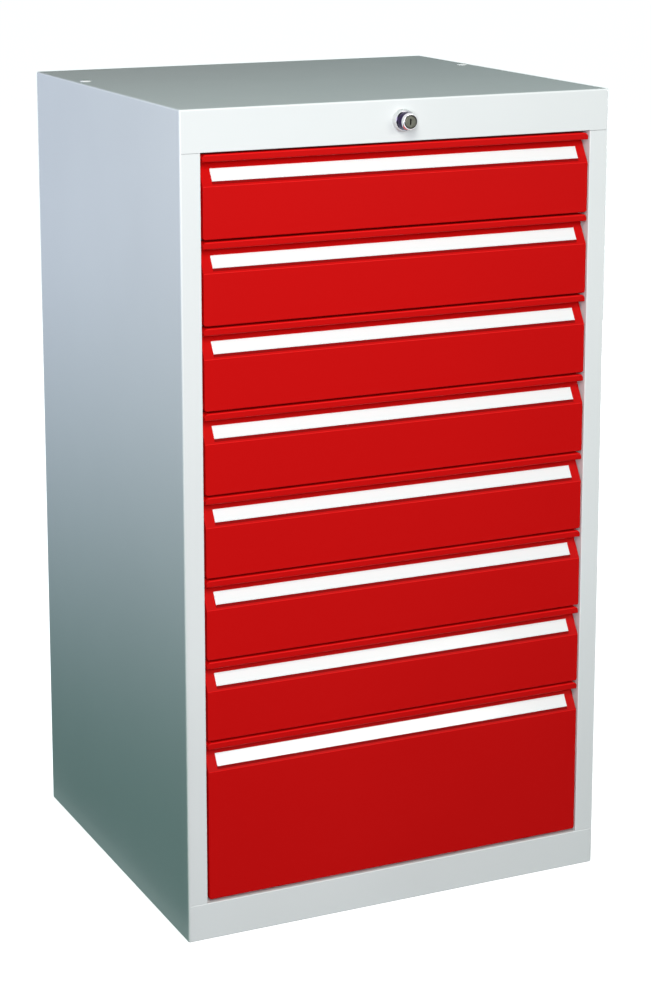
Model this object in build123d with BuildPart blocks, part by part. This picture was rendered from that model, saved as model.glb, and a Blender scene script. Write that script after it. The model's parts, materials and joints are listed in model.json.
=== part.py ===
from build123d import *
import os

# Industrial drawer cabinet: a folded sheet steel housing with eight drawers on telescopic
# runners and a push lock that works one bar behind all the drawers.
# Millimetres. X to the right, Y to the back, Z up. The origin is on the floor, in the middle
# of the housing's footprint.

os.makedirs("parts", exist_ok=True)

# Housing
cabinet_width = 560.0
cabinet_depth = 500.0
housing_sheet = 1.2
housing_bend = 2.0
seam_gap = 0.4
panel_clearance = 1.0
post_width = 25.0
post_return = 25.0
top_rail_height = 50.0
top_rail_return = 15.0
bottom_rail_height = 46.0
bottom_rail_return = 20.0
rear_flange = 15.0
base_flange = 15.0
floor_flange = 20.0
back_sheet = 1.0
corner_relief_radius = 0.9

# Floor support under the bottom panel
support_width = 60.0
support_flange = 12.0

# Plugs in the top
plug_hole_radius = 5.0
plug_stem_clearance = 0.2
plug_cap_radius = 7.0
plug_cap_height = 1.6
plug_cap_round = 1.0
plug_stem_length = 6.0
plug_from_side = 14.0
plug_from_back = 150.0

# Drawer stack, from the top down
small_drawer_pitch = 100.0
large_drawer_pitch = 200.0
small_drawer_count = 7
large_drawer_count = 1
bottom_drawer_gap = 4.0

# Drawer fronts
front_side_gap = 2.5
front_top_gap = 2.4
front_sheet = 1.2
front_bend = 1.5
front_depth = 21.0
front_flange = 15.0
lip_height = 8.5
handle_height = 36.5
handle_depth = 16.5
front_top_corner = 5.0
front_bottom_corner = 3.5

# Label strips on the sloping part of the handle
label_width = 15.8
label_from_fold = 5.8
label_thickness = 1.5
label_side_inset = 12.5
label_round = 0.4

# Drawer boxes
box_sheet = 1.0
box_bend = 2.0
box_lift = 5.0
box_clear_above = 20.0
box_back_gap = 22.8
box_hem = 6.0

# Telescopic runners
runner_thickness = 12.5
runner_height = 45.0
runner_sheet = 1.2
runner_bend = 1.4
runner_play = 0.3
runner_leg_gap = 2.0
runner_side_gap = 0.5
runner_above_box_floor = 30.0
runner_front_setback = 26.0
drawer_travel = 430.0
buffer_length = 8.0
hook_thickness = 2.0
hook_height = 10.0
hook_length = 6.0
hook_slot_rise = 6.0

# Uprights that carry the runners
upright_width = 30.0
upright_sheet = 1.5
upright_from_front = 45.0
upright_from_back = 55.0
upright_top_gap = 30.0

# Push lock in the top rail
collar_radius = 13.4
collar_thickness = 7.5
collar_draft = 0.6
housing_tube_radius = 11.8
housing_tube_length = 38.0
housing_tube_inset = 1.0
barrel_radius = 11.0
barrel_proud = 21.0
barrel_length = 45.0
barrel_straight_proud = 9.0
barrel_taper = 2.0
barrel_round = 0.8
lock_running_gap = 0.08
lock_hole_gap = 0.3
core_radius = 7.0
core_length = 16.0
core_chamfer = 0.5
keyway_width = 1.8
keyway_height = 7.5
keyway_depth = 12.0
nut_across_flats = 30.0
nut_thickness = 5.0

# Push rod and locking bar
rod_radius = 4.0
rod_bracket_width = 30.0
rod_bracket_sheet = 2.0
rod_bracket_flange = 15.0
rod_bracket_below = 8.0
rod_bracket_from_front = 130.0
rod_bracket_from_back = 100.0
lock_travel = 10.0
wedge_width = 12.0
wedge_height = 12.0
wedge_length = 22.0
wedge_gap = 0.3
bar_width = 20.0
bar_thickness = 3.0
bar_back_gap = 0.5
bar_follower_rise = 4.0
bar_follower_room = 2.0
bar_from_base = 14.0
hook_arm_width = 16.0
hook_arm_sheet = 2.5
hook_rest_gap = 2.0
tooth_gap = 2.0
catch_width = 20.0
catch_sheet = 1.5
catch_reach = 12.0
catch_drop = 12.0
catch_top_below_box = 20.0
catch_pad = 9.0
guide_sheet = 1.5
guide_foot = 10.0
guide_height = 12.0
guide_play = 0.3
guide_below_pitch_top = 21.0

# Cuts run this far past the faces that they open
overrun = 1.0
# Edges are picked to this tolerance
pick = 0.01

# Worked out from the sizes above
pitches = [small_drawer_pitch] * small_drawer_count + [large_drawer_pitch] * large_drawer_count
stack_bottom = bottom_rail_height + bottom_drawer_gap
stack_top = stack_bottom + sum(pitches)
cabinet_height = stack_top + top_rail_height
pitch_floors = [stack_top - sum(pitches[: place + 1]) for place in range(len(pitches))]

half_width = cabinet_width / 2
front_y = -cabinet_depth / 2
back_y = cabinet_depth / 2
wall_inside = half_width - housing_sheet
top_inside = cabinet_height - housing_sheet
opening_half = half_width - post_width
rail_half = half_width - housing_bend - seam_gap
back_inside = back_y - housing_sheet - back_sheet

plug_places = [
    (side * (half_width - plug_from_side), back_y - plug_from_back) for side in (-1, 1)
]

front_half = opening_half - front_side_gap
runner_outside = opening_half - runner_side_gap
box_half = runner_outside - runner_thickness
box_front = front_y + front_depth
box_back = back_inside - box_back_gap
runner_front = front_y + runner_front_setback
buffer_front = box_back - buffer_length
slide_back = buffer_front - runner_play
front_upright_y = front_y + upright_from_front
back_upright_y = back_y - upright_from_back

lock_z = stack_top + top_rail_height / 2
bar_back = back_inside - bar_back_gap
bar_front = bar_back - bar_thickness
wedge_tip = bar_front - lock_travel - bar_follower_room
wedge_bottom = lock_z - wedge_height / 2
wedge_top = lock_z + wedge_height / 2
follower_offset = wedge_gap * 2**0.5


def block(low, high, mode=Mode.ADD):
    """Put a box between two corners in the open part."""
    centre = tuple((near + far) / 2 for near, far in zip(low, high))
    size = tuple(far - near for near, far in zip(low, high))
    with Locations(centre):
        Box(*size, mode=mode)


def front_plane(y):
    """A plane square to Y, with its X to the right and its Y up."""
    return Plane.XZ.offset(-y)


def side_plane(x, y, z):
    """A plane square to X, with its X to the back and its Y up."""
    return Plane((x, y, z), x_dir=(0, 1, 0), z_dir=(1, 0, 0))


def channel(plane, web_x, tip_x, centre_z, height):
    """A runner's C section, with its web at web_x and its legs ending at tip_x."""
    web_side = 0 if web_x < tip_x else -1
    web_inner = web_x + (runner_sheet if web_x < tip_x else -runner_sheet)
    with BuildSketch(plane) as section:
        with Locations(((web_x + tip_x) / 2, centre_z)):
            Rectangle(abs(tip_x - web_x), height)
        fillet(section.vertices().group_by(Axis.X)[web_side], runner_bend)
        with Locations(((web_inner + tip_x) / 2, centre_z)):
            Rectangle(abs(tip_x - web_inner), height - 2 * runner_sheet, mode=Mode.SUBTRACT)
    return section.sketch


def front_block(floor, height, inset):
    """A drawer front as a full block, drawn in by inset on every side."""
    lip_under = height - lip_height
    fold = lip_under - (handle_height - lip_height)
    with BuildPart() as solid:
        with BuildSketch(side_plane(0, front_y, floor)) as profile:
            with BuildLine():
                Polyline(
                    (0, 0),
                    (0, fold),
                    (handle_depth, lip_under),
                    (0, lip_under),
                    (0, height),
                    (front_depth, height),
                    (front_depth, 0),
                    close=True,
                )
            make_face()
            fillet(profile.vertices().group_by(Axis.X)[0], front_bend)
            if inset:
                offset(amount=-inset)
        extrude(amount=front_half - inset, both=True)
        with BuildSketch(front_plane(front_y)) as outline:
            with Locations((0, floor + height / 2)):
                Rectangle(2 * (front_half - inset), height - 2 * inset)
            fillet(outline.vertices().group_by(Axis.Y)[-1], front_top_corner - inset)
            fillet(outline.vertices().group_by(Axis.Y)[0], front_bottom_corner - inset)
        extrude(amount=-front_depth, mode=Mode.INTERSECT)
    return solid.part


# Outer shell: both sides, the top, the front posts and the top rail, folded from one sheet
with BuildPart() as shell_cavity:
    with BuildSketch(Plane.XY.offset(housing_sheet)):
        Rectangle(2 * wall_inside, cabinet_depth - 2 * housing_sheet)
    extrude(amount=cabinet_height - 2 * housing_sheet)
    fillet(shell_cavity.edges(), housing_bend - housing_sheet)

with BuildPart() as outer_shell:
    with BuildSketch(Plane.XY):
        Rectangle(cabinet_width, cabinet_depth)
    extrude(amount=cabinet_height)
    fillet(outer_shell.edges(), housing_bend)
    add(shell_cavity.part, mode=Mode.SUBTRACT)
    # The drawer opening, and the room for the bottom rail below the posts
    block(
        (-opening_half, front_y - overrun, -overrun),
        (opening_half, front_y + housing_sheet + overrun, stack_top),
        Mode.SUBTRACT,
    )
    block(
        (-rail_half, front_y - overrun, -overrun),
        (rail_half, front_y + bottom_rail_return + seam_gap, bottom_rail_height + seam_gap),
        Mode.SUBTRACT,
    )
    # The open back and the open base, inside their flanges
    block(
        (-half_width + rear_flange, back_y - housing_sheet - overrun, -overrun),
        (half_width - rear_flange, back_y + overrun, cabinet_height - rear_flange),
        Mode.SUBTRACT,
    )
    block(
        (-half_width + base_flange, front_y, -overrun),
        (half_width - base_flange, back_y + overrun, housing_sheet + overrun),
        Mode.SUBTRACT,
    )
    # Inner faces of the posts, and the return under the top rail
    for side in (-1, 1):
        with Locations(
            (
                side * (opening_half + housing_sheet / 2),
                front_y + post_return / 2,
                (bottom_rail_height + stack_top) / 2,
            )
        ):
            Box(housing_sheet, post_return, stack_top - bottom_rail_height - 2 * seam_gap)
    block(
        (-opening_half, front_y, stack_top),
        (opening_half, front_y + top_rail_return, stack_top + housing_sheet),
    )
    opening_edges = outer_shell.edges().filter_by(
        lambda edge: abs(edge.center().Y - front_y) < pick
        and (
            abs(abs(edge.center().X) - opening_half) < pick
            or (abs(edge.center().Z - stack_top) < pick and abs(edge.center().X) < pick)
        )
        and edge.length > top_rail_height
    )
    fillet(opening_edges, housing_bend / 2)
    # Seams between the posts and the top rail
    for side in (-1, 1):
        with Locations(
            (
                side * (opening_half + rail_half) / 2,
                front_y + housing_sheet / 2,
                stack_top - seam_gap / 2,
            )
        ):
            Box(rail_half - opening_half + 2 * seam_gap, 2 * housing_sheet, seam_gap, mode=Mode.SUBTRACT)
    # Relief holes where three folds meet
    with BuildSketch(Plane.XY.offset(cabinet_height)):
        with Locations(
            (half_width - housing_bend, front_y + housing_bend),
            (-half_width + housing_bend, front_y + housing_bend),
        ):
            Circle(corner_relief_radius)
    extrude(amount=-2 * housing_bend, mode=Mode.SUBTRACT)
    # Holes for the lock and for the plugs
    with BuildSketch(front_plane(front_y)):
        with Locations((0, lock_z)):
            Circle(housing_tube_radius + lock_hole_gap)
    extrude(amount=-2 * housing_sheet, mode=Mode.SUBTRACT)
    with BuildSketch(Plane.XY.offset(cabinet_height)):
        with Locations(*plug_places):
            Circle(plug_hole_radius)
    extrude(amount=-2 * housing_sheet, mode=Mode.SUBTRACT)
outer_shell.part.label = "outer_shell"
export_step(outer_shell.part, "parts/outer_shell.step")

# Bottom panel: the cabinet's floor, folded down in front as the bottom rail
with BuildPart() as bottom_panel:
    floor_top = bottom_rail_height
    floor_under = bottom_rail_height - housing_sheet
    flange_bottom = bottom_rail_height - floor_flange
    block((-rail_half, front_y, floor_under), (rail_half, front_y + housing_bend, floor_top))
    block(
        (-wall_inside, front_y + housing_bend, floor_under),
        (wall_inside, back_inside, floor_top),
    )
    block((-rail_half, front_y, 0), (rail_half, front_y + housing_sheet, floor_top))
    block((-rail_half, front_y, 0), (rail_half, front_y + bottom_rail_return, housing_sheet))
    block(
        (-wall_inside + housing_bend, back_inside - housing_sheet, flange_bottom),
        (wall_inside - housing_bend, back_inside, floor_top),
    )
    for side in (-1, 1):
        with Locations(
            (side * (wall_inside - housing_sheet / 2), 0, (flange_bottom + floor_top) / 2)
        ):
            Box(housing_sheet, cabinet_depth - 4 * bottom_rail_return, floor_flange)
    rail_edges = bottom_panel.edges().filter_by(Axis.X).filter_by(
        lambda edge: abs(edge.center().Y - front_y) < pick
    )
    fillet(rail_edges, housing_bend / 2)
bottom_panel.part.label = "bottom_panel"
export_step(bottom_panel.part, "parts/bottom_panel.step")

# Floor support: a hat section across the cabinet under the bottom panel
with BuildPart() as floor_support:
    support_half = half_width - base_flange - seam_gap
    with BuildSketch(side_plane(0, 0, 0)):
        with Locations((0, floor_under / 2)):
            Rectangle(support_width, floor_under)
            Rectangle(support_width - 2 * housing_sheet, floor_under, mode=Mode.SUBTRACT)
        with Locations((0, housing_sheet / 2)):
            Rectangle(support_width, housing_sheet)
        for side in (-1, 1):
            with Locations(
                (side * (support_width + support_flange) / 2, floor_under - housing_sheet / 2)
            ):
                Rectangle(support_flange + 2 * housing_sheet, housing_sheet)
    extrude(amount=support_half, both=True)
floor_support.part.label = "floor_support"
export_step(floor_support.part, "parts/floor_support.step")

# Back panel
with BuildPart() as back_panel:
    panel_half = wall_inside - panel_clearance
    block(
        (-panel_half, back_inside, housing_sheet + panel_clearance),
        (panel_half, back_inside + back_sheet, top_inside - panel_clearance),
    )
back_panel.part.label = "back_panel"
export_step(back_panel.part, "parts/back_panel.step")

# Plugs that close the two holes in the top
with BuildPart() as top_hole_plugs:
    with BuildSketch(Plane.XY.offset(cabinet_height)):
        with Locations(*plug_places):
            Circle(plug_cap_radius)
    extrude(amount=plug_cap_height)
    cap_edges = top_hole_plugs.faces().group_by(Axis.Z)[-1].edges()
    fillet(cap_edges, plug_cap_round)
    with BuildSketch(Plane.XY.offset(cabinet_height)):
        with Locations(*plug_places):
            Circle(plug_hole_radius - plug_stem_clearance)
    extrude(amount=-plug_stem_length)
top_hole_plugs.part.label = "top_hole_plugs"
export_step(top_hole_plugs.part, "parts/top_hole_plugs.step")

# Heights that belong to each drawer
runner_heights = [floor + box_lift + runner_above_box_floor for floor in pitch_floors]
box_tops = [floor + pitch - box_clear_above for floor, pitch in zip(pitch_floors, pitches)]
catch_tops = [floor + small_drawer_pitch - box_clear_above - catch_top_below_box for floor in pitch_floors]
tooth_tops = [top - catch_drop - hook_rest_gap for top in catch_tops]

# Uprights: a front one and a rear one behind each post, with a slot for every runner hook
for side_name, side in (("left", -1), ("right", 1)):
    with BuildPart() as runner_uprights:
        web_centre = side * (runner_outside + upright_sheet / 2)
        depth_centre = side * (runner_outside + wall_inside) / 2
        upright_top = cabinet_height - upright_top_gap
        with BuildSketch(Plane.XY.offset(bottom_rail_height)):
            for upright_y in (front_upright_y, back_upright_y):
                with Locations((depth_centre, upright_y)):
                    Rectangle(wall_inside - runner_outside, upright_width)
                with Locations((depth_centre + side * upright_sheet, upright_y)):
                    Rectangle(
                        wall_inside - runner_outside,
                        upright_width - 2 * upright_sheet,
                        mode=Mode.SUBTRACT,
                    )
        extrude(amount=upright_top - bottom_rail_height)
        for runner_z in runner_heights:
            for upright_y in (front_upright_y, back_upright_y):
                with Locations((web_centre, upright_y, runner_z + hook_slot_rise / 2)):
                    Box(
                        2 * upright_sheet,
                        hook_thickness + 2 * runner_play,
                        hook_height + hook_slot_rise + 2 * runner_play,
                        mode=Mode.SUBTRACT,
                    )
    runner_uprights.part.label = f"runner_uprights_{side_name}"
    export_step(runner_uprights.part, f"parts/runner_uprights_{side_name}.step")

# Fixed runner members, hooked into the uprights
for side_name, side in (("left", -1), ("right", 1)):
    with BuildPart() as fixed_runners:
        for runner_z in runner_heights:
            section = channel(
                front_plane(runner_front),
                side * runner_outside,
                side * (box_half + runner_leg_gap),
                runner_z,
                runner_height,
            )
            extrude(section, amount=-(box_back - runner_front))
            for upright_y in (front_upright_y, back_upright_y):
                with Locations((side * (runner_outside + hook_length / 2), upright_y, runner_z)):
                    Box(hook_length, hook_thickness, hook_height)
    fixed_runners.part.label = f"fixed_runners_{side_name}"
    export_step(fixed_runners.part, f"parts/fixed_runners_{side_name}.step")

# Rubber buffers in the rear ends of the fixed members
with BuildPart() as runner_buffers:
    buffer_outer = runner_outside - runner_sheet
    buffer_inner = box_half + runner_leg_gap
    for runner_z in runner_heights:
        for side in (-1, 1):
            with Locations(
                (
                    side * (buffer_outer + buffer_inner) / 2,
                    buffer_front + buffer_length / 2,
                    runner_z,
                )
            ):
                Box(buffer_outer - buffer_inner, buffer_length, runner_height - 2 * runner_sheet)
runner_buffers.part.label = "runner_buffers"
export_step(runner_buffers.part, "parts/runner_buffers.step")

# Lock collar: the pale ring on the top rail
with BuildPart() as lock_collar:
    collar_bore = housing_tube_radius + lock_running_gap
    with BuildSketch(side_plane(0, front_y, lock_z)):
        with BuildLine():
            Polyline(
                (0, collar_bore),
                (0, collar_radius),
                (-collar_thickness, collar_radius - collar_draft),
                (-collar_thickness, collar_bore),
                close=True,
            )
        make_face()
    revolve(axis=Axis((0, front_y, lock_z), (0, 1, 0)))
lock_collar.part.label = "lock_collar"
export_step(lock_collar.part, "parts/lock_collar.step")

# Lock housing: the tube that passes through the rail and guides the barrel
with BuildPart() as lock_housing:
    tube_front = front_y - collar_thickness + housing_tube_inset
    with BuildSketch(front_plane(tube_front)):
        with Locations((0, lock_z)):
            Circle(housing_tube_radius)
            Circle(barrel_radius + lock_running_gap, mode=Mode.SUBTRACT)
    extrude(amount=-housing_tube_length)
lock_housing.part.label = "lock_housing"
export_step(lock_housing.part, "parts/lock_housing.step")

# Nut that clamps the housing behind the rail
with BuildPart() as lock_nut:
    with BuildSketch(front_plane(front_y + housing_sheet)):
        with Locations((0, lock_z)):
            RegularPolygon(nut_across_flats / 2, 6, major_radius=False)
            Circle(housing_tube_radius + lock_running_gap, mode=Mode.SUBTRACT)
    extrude(amount=-nut_thickness)
lock_nut.part.label = "lock_nut"
export_step(lock_nut.part, "parts/lock_nut.step")

# Lock barrel with a domed nose: pushed in to lock, out when the drawers are free
with BuildPart() as lock_barrel:
    barrel_front = front_y - barrel_proud
    with BuildSketch(side_plane(0, front_y, lock_z)):
        with BuildLine():
            middle = Line((-barrel_proud, 0), (barrel_length - barrel_proud, 0))
            back = Line(middle @ 1, (barrel_length - barrel_proud, barrel_radius))
            flank = Line(back @ 1, (-barrel_straight_proud, barrel_radius))
            nose = TangentArc(
                flank @ 1, (-barrel_proud, barrel_radius - barrel_taper), tangent=flank % 1
            )
            Line(nose @ 1, middle @ 0)
        make_face()
    revolve(axis=Axis((0, front_y, lock_z), (0, 1, 0)))
    fillet(lock_barrel.faces().sort_by(Axis.Y)[0].edges(), barrel_round)
    with BuildSketch(front_plane(barrel_front)):
        with Locations((0, lock_z)):
            Circle(core_radius + lock_running_gap)
    extrude(amount=-core_length, mode=Mode.SUBTRACT)
lock_barrel.part.label = "lock_barrel"
export_step(lock_barrel.part, "parts/lock_barrel.step")

# Key core: turns in the barrel
with BuildPart() as lock_core:
    with BuildSketch(front_plane(barrel_front)):
        with Locations((0, lock_z)):
            Circle(core_radius)
    extrude(amount=-core_length)
    chamfer(lock_core.faces().sort_by(Axis.Y)[0].edges(), core_chamfer)
    with BuildSketch(front_plane(barrel_front)):
        with Locations((0, lock_z)):
            SlotOverall(keyway_height, keyway_width, rotation=90)
    extrude(amount=-keyway_depth, mode=Mode.SUBTRACT)
lock_core.part.label = "lock_core"
export_step(lock_core.part, "parts/lock_core.step")

# Push rod: carries the barrel's travel to the wedge at the back
with BuildPart() as push_rod:
    rod_front = barrel_front + barrel_length
    wedge_front = wedge_tip - wedge_length
    with BuildSketch(front_plane(rod_front)):
        with Locations((0, lock_z)):
            Circle(rod_radius)
    extrude(amount=-(wedge_front - rod_front))
    with BuildSketch(side_plane(0, 0, 0)):
        with BuildLine():
            Polyline(
                (wedge_front, wedge_bottom),
                (wedge_tip, wedge_bottom),
                (wedge_tip - wedge_height, wedge_top),
                (wedge_front, wedge_top),
                close=True,
            )
        make_face()
    extrude(amount=wedge_width / 2, both=True)
push_rod.part.label = "push_rod"
export_step(push_rod.part, "parts/push_rod.step")

# Brackets under the top that guide the push rod
with BuildPart() as rod_brackets:
    for bracket_y in (front_y + rod_bracket_from_front, back_y - rod_bracket_from_back):
        bracket_bottom = lock_z - rod_radius - rod_bracket_below
        block(
            (-rod_bracket_width / 2, bracket_y, bracket_bottom),
            (rod_bracket_width / 2, bracket_y + rod_bracket_sheet, top_inside),
        )
        block(
            (-rod_bracket_width / 2, bracket_y, top_inside - rod_bracket_sheet),
            (rod_bracket_width / 2, bracket_y + rod_bracket_flange, top_inside),
        )
        with BuildSketch(front_plane(bracket_y)):
            with Locations((0, lock_z)):
                Circle(rod_radius + lock_running_gap)
        extrude(amount=-rod_bracket_sheet, mode=Mode.SUBTRACT)
rod_brackets.part.label = "rod_brackets"
export_step(rod_brackets.part, "parts/rod_brackets.step")

# Locking bar with the follower that the wedge lifts
with BuildPart() as locking_bar:
    follower_foot = wedge_tip + follower_offset
    follower_top = wedge_top + bar_follower_rise
    block(
        (-bar_width / 2, bar_front, stack_bottom + bar_from_base),
        (bar_width / 2, bar_back, follower_top),
    )
    with BuildSketch(side_plane(0, 0, 0)):
        with BuildLine():
            Polyline(
                (follower_foot, wedge_bottom),
                (bar_front, wedge_bottom),
                (bar_front, follower_top),
                (follower_foot - wedge_height, follower_top),
                (follower_foot - wedge_height, wedge_top),
                close=True,
            )
        make_face()
    extrude(amount=wedge_width / 2, both=True)
locking_bar.part.label = "locking_bar"
export_step(locking_bar.part, "parts/locking_bar.step")

# Hooks on the locking bar, one behind each drawer
with BuildPart() as bar_hooks:
    tooth_back = box_back + catch_reach - catch_sheet - tooth_gap
    tooth_front = tooth_back - hook_arm_sheet
    for tooth_top in tooth_tops:
        arm_bottom = tooth_top - lock_travel - hook_arm_sheet
        block(
            (-hook_arm_width / 2, tooth_front, arm_bottom),
            (hook_arm_width / 2, bar_front, arm_bottom + hook_arm_sheet),
        )
        block(
            (-hook_arm_width / 2, tooth_front, arm_bottom),
            (hook_arm_width / 2, tooth_back, tooth_top),
        )
bar_hooks.part.label = "bar_hooks"
export_step(bar_hooks.part, "parts/bar_hooks.step")

# Guides that hold the bar against the back panel
with BuildPart() as bar_guides:
    guide_tops = [
        pitch_floors[place] + pitches[place] - guide_below_pitch_top
        for place in (0, small_drawer_count // 2, small_drawer_count)
    ]
    guide_half = bar_width / 2 + guide_play
    guide_front = bar_front - guide_play - guide_sheet
    for guide_top in guide_tops:
        with BuildSketch(Plane.XY.offset(guide_top - guide_height)):
            with Locations((0, (guide_front + back_inside) / 2)):
                Rectangle(2 * (guide_half + guide_sheet), back_inside - guide_front)
            with Locations((0, back_inside - guide_sheet / 2)):
                Rectangle(2 * (guide_half + guide_sheet + guide_foot), guide_sheet)
            with Locations((0, (guide_front + guide_sheet + back_inside) / 2)):
                Rectangle(2 * guide_half, back_inside - guide_front - guide_sheet, mode=Mode.SUBTRACT)
        extrude(amount=guide_height)
bar_guides.part.label = "bar_guides"
export_step(bar_guides.part, "parts/bar_guides.step")

# The drawers, numbered from the top
middle_web = runner_outside - runner_sheet - runner_play
middle_height = runner_height - 2 * (runner_sheet + runner_play)
inner_tip = middle_web - runner_sheet - runner_play
inner_height = middle_height - 2 * (runner_sheet + runner_play)
slide_length = slide_back - runner_front

for number, (floor, pitch) in enumerate(zip(pitch_floors, pitches), start=1):
    name = f"drawer_{number}"
    front_height = pitch - front_top_gap
    runner_z = runner_heights[number - 1]
    box_floor = floor + box_lift
    box_top = box_tops[number - 1]
    catch_top = catch_tops[number - 1]

    # Front: a folded sheet with the grip lip, the sloping handle face and welded ends
    with BuildPart() as drawer_front:
        add(front_block(floor, front_height, 0))
        add(front_block(floor, front_height, front_sheet), mode=Mode.SUBTRACT)
        block(
            (-front_half + front_flange, box_front - 2 * front_sheet, floor + front_flange),
            (front_half - front_flange, box_front + overrun, floor + front_height - front_flange),
            Mode.SUBTRACT,
        )
    drawer_front.part.label = f"{name}_front"
    export_step(drawer_front.part, f"parts/{name}_front.step")

    # Label strip on the sloping face
    with BuildPart() as label_strip:
        fold_z = front_height - handle_height
        slope = Vector(handle_depth, handle_height - lip_height).normalized()
        outward = Vector(-slope.Y, slope.X)
        foot = Vector(0, fold_z) + slope * label_from_fold
        head = foot + slope * label_width
        with BuildSketch(side_plane(0, front_y, floor)):
            with BuildLine():
                Polyline(
                    foot,
                    head,
                    head + outward * label_thickness,
                    foot + outward * label_thickness,
                    close=True,
                )
            make_face()
        extrude(amount=front_half - label_side_inset, both=True)
        fillet(label_strip.faces().sort_by(Axis.Y)[0].edges(), label_round)
    label_strip.part.label = f"{name}_label_strip"
    export_step(label_strip.part, f"parts/{name}_label_strip.step")

    # Box: an open tray with hemmed walls and the catch that the lock holds
    with BuildPart() as drawer_box:
        block((-box_half, box_front, box_floor), (box_half, box_back, box_top))
        upright_edges = drawer_box.edges().filter_by(Axis.Z)
        floor_edges = drawer_box.faces().sort_by(Axis.Z)[0].edges()
        fillet(upright_edges + floor_edges, box_bend)
        offset(amount=-box_sheet, openings=drawer_box.faces().sort_by(Axis.Z)[-1])
        for side in (-1, 1):
            with Locations(
                (
                    side * (box_half + box_hem / 2),
                    (box_front + box_back) / 2,
                    box_top - box_sheet / 2,
                )
            ):
                Box(box_hem + box_sheet, box_back - box_front - 2 * box_bend, box_sheet)
        block(
            (-box_half + box_bend, box_back - box_sheet, box_top - box_sheet),
            (box_half - box_bend, box_back + box_hem, box_top),
        )
        block(
            (-catch_width / 2, box_back - box_sheet, catch_top - catch_sheet),
            (catch_width / 2, box_back + catch_reach, catch_top),
        )
        block(
            (-catch_width / 2, box_back + catch_reach - catch_sheet, catch_top - catch_drop),
            (catch_width / 2, box_back + catch_reach, catch_top),
        )
        block(
            (-catch_width / 2, box_back - box_sheet, catch_top - catch_sheet),
            (catch_width / 2, box_back + catch_sheet, catch_top + catch_pad),
        )
    drawer_box.part.label = f"{name}_box"
    export_step(drawer_box.part, f"parts/{name}_box.step")

    # Runner members welded to the box, and the middle members between them and the fixed ones
    with BuildPart() as drawer_runners:
        section = channel(front_plane(runner_front), box_half, inner_tip, runner_z, inner_height)
        extrude(section, amount=-slide_length)
        mirror(about=Plane.YZ)
    drawer_runners.part.label = f"{name}_runners"
    export_step(drawer_runners.part, f"parts/{name}_runners.step")

    with BuildPart() as middle_runners:
        section = channel(
            front_plane(runner_front),
            middle_web,
            box_half + runner_leg_gap + runner_play,
            runner_z,
            middle_height,
        )
        extrude(section, amount=-slide_length)
        mirror(about=Plane.YZ)
    middle_runners.part.label = f"{name}_middle_runners"
    export_step(middle_runners.part, f"parts/{name}_middle_runners.step")

print("drawer travel", drawer_travel, "lock travel", lock_travel)
print("height", cabinet_height, "box half", box_half, "box", box_front, box_back, "bar", bar_front)
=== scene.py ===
"""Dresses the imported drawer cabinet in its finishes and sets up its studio.

Metres, in the cabinet's own frame: X to the right, Y to the back, Z up, with the origin on the
floor in the middle of the footprint. The drawers open towards -Y.
"""

import json
import logging
import math
from dataclasses import dataclass, field
from enum import Enum
from typing import Any, Sequence

import bmesh
import bpy
from mathutils import Euler, Matrix, Vector

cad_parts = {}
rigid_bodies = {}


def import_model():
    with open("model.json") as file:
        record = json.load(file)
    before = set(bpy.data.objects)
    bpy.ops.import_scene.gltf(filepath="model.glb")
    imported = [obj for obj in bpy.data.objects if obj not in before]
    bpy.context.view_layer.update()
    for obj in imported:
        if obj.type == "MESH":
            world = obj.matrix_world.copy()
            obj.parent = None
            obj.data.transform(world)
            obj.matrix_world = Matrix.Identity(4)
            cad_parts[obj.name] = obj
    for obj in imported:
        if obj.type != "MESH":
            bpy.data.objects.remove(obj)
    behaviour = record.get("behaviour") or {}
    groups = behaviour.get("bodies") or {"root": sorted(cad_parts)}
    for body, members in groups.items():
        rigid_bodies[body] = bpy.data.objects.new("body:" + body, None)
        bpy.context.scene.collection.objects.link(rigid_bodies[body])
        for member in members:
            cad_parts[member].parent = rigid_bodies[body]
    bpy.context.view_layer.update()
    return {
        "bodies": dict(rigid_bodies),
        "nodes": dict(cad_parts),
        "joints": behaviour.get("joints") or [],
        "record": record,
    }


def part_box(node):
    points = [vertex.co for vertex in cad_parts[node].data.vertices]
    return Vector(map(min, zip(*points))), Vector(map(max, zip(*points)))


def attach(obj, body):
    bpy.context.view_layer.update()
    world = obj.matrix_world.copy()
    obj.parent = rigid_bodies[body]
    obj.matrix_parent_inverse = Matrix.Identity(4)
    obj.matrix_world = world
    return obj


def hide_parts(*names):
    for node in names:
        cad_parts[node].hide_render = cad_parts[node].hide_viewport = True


LOG = logging.getLogger("cabinet")
MM = 0.001
DRAWERS = range(1, 9)
SMOOTH_ANGLE = 32  # edges that turn by more degrees than this are shaded sharp
SHARP_ANGLE = 35  # edges that turn by more degrees than this are eased
Pair = tuple[float, float]
Triple = tuple[float, float, float]
Colour = Triple  # linear red, green and blue
Noise = tuple[float, ...]  # features in a metre, octaves and the strength of the finer ones
Relief = Pair  # depth in metres and strength
Outline = Sequence[Pair]
Frame = dict[str, Any]
Material = bpy.types.Material
Mesh = bpy.types.Mesh
Node = bpy.types.Node
Piece = bpy.types.Object
Socket = bpy.types.NodeSocket
WHITE: Colour = (1.0, 1.0, 1.0)


class Side(Enum):
    """The two sides of the cabinet, as its pieces are named."""

    LEFT = "left"
    RIGHT = "right"


class Grain(Enum):
    """The axis that the marks of a rolled or drawn finish run along."""

    ALONG_DEPTH = 1
    ALONG_HEIGHT = 2

    def stretch(self, fine: float, long: float) -> Triple:
        """Scales of X, Y and Z for a pattern that is fine across the grain and long with it."""
        return tuple(long if axis == self.value else fine for axis in range(3))


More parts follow.
